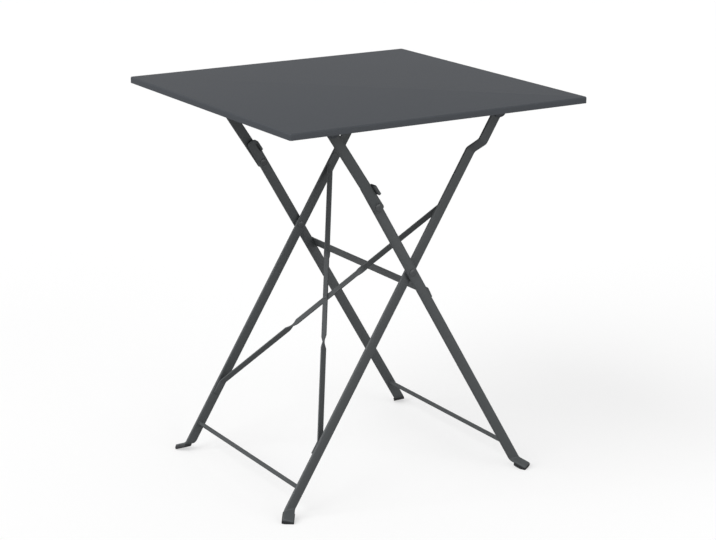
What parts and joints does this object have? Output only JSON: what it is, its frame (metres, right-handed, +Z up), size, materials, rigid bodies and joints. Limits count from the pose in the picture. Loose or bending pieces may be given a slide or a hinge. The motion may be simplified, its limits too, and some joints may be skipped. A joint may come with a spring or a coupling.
{
  "type": "folding garden table",
  "caption": "Folding garden table: plain square sheet top on crossed flat-bar leg frames that hinge at the middle, with knee links, twisted cross braces and bent-out capped feet.",
  "frame": {"origin": "on the floor under the middle of the square top, table standing open", "axes": "+Z up; X across the fold from the inner frame's feet at -X to the outer frame's feet at +X; Y along all the hinge axes, the picture's near side at -Y"},
  "size_m": [0.6, 0.6, 0.715],
  "materials": {
    "top_paint": "smooth satin dark grey powder coat on steel sheet",
    "frame_paint": "satin dark grey powder coat on flat and round steel bar",
    "fastener_paint": "rivets and washers coated over with the frame",
    "foot_plastic": "soft dark plastic foot cap"
  },
  "bodies": {
    "outer_frame": {"outer_leg_near": "frame_paint", "outer_leg_far": "frame_paint", "outer_cap_near": "foot_plastic", "outer_cap_far": "foot_plastic", "outer_rod": "frame_paint", "cross_bar": "frame_paint", "knee_rivets": "fastener_paint", "knee_spacers": "fastener_paint"},
    "inner_frame": {"inner_leg_near": "frame_paint", "inner_leg_far": "frame_paint", "inner_cap_near": "foot_plastic", "inner_cap_far": "foot_plastic", "inner_rod": "frame_paint", "brace_rising": "frame_paint", "brace_falling": "frame_paint", "brace_rivet": "fastener_paint", "pivot_rivets": "fastener_paint", "pivot_spacers": "fastener_paint", "leg_hinge_rivets": "fastener_paint"},
    "near_link": {"link_near": "frame_paint"},
    "far_link": {"link_far": "frame_paint"},
    "top": {"table_top": "top_paint", "leg_ear_near": "top_paint", "leg_ear_far": "top_paint", "link_ear_near": "top_paint", "link_ear_far": "top_paint", "link_hinge_rivets": "fastener_paint", "ear_hinge_rivets": "fastener_paint"}
  },
  "joints": [
    {"name": "legs_fold", "type": "hinge", "parent": "outer_frame", "child": "inner_frame", "pos_m": [0, 0, 0.415], "axis": [0, -1, 0], "range_deg": [0, 60.1]},
    {"name": "near_link_swing", "type": "hinge", "parent": "outer_frame", "child": "near_link", "pos_m": [-0.07611, -0.209, 0.5453], "axis": [0, -1, 0], "range_deg": [0, 169.54]},
    {"name": "far_link_swing", "type": "hinge", "parent": "outer_frame", "child": "far_link", "pos_m": [-0.07611, 0.209, 0.5453], "axis": [0, -1, 0], "range_deg": [0, 169.54]},
    {"name": "top_fold", "type": "hinge", "parent": "near_link", "child": "top", "pos_m": [-0.1705, -0.209, 0.688], "axis": [0, 1, 0], "range_deg": [0, 55.3]}
  ],
  "couplings": [
    {"joint": "near_link_swing", "follows": "legs_fold", "ratio": 2.8208},
    {"joint": "far_link_swing", "follows": "legs_fold", "ratio": 2.8208},
    {"joint": "top_fold", "follows": "legs_fold", "ratio": 0.92002}
  ]
}
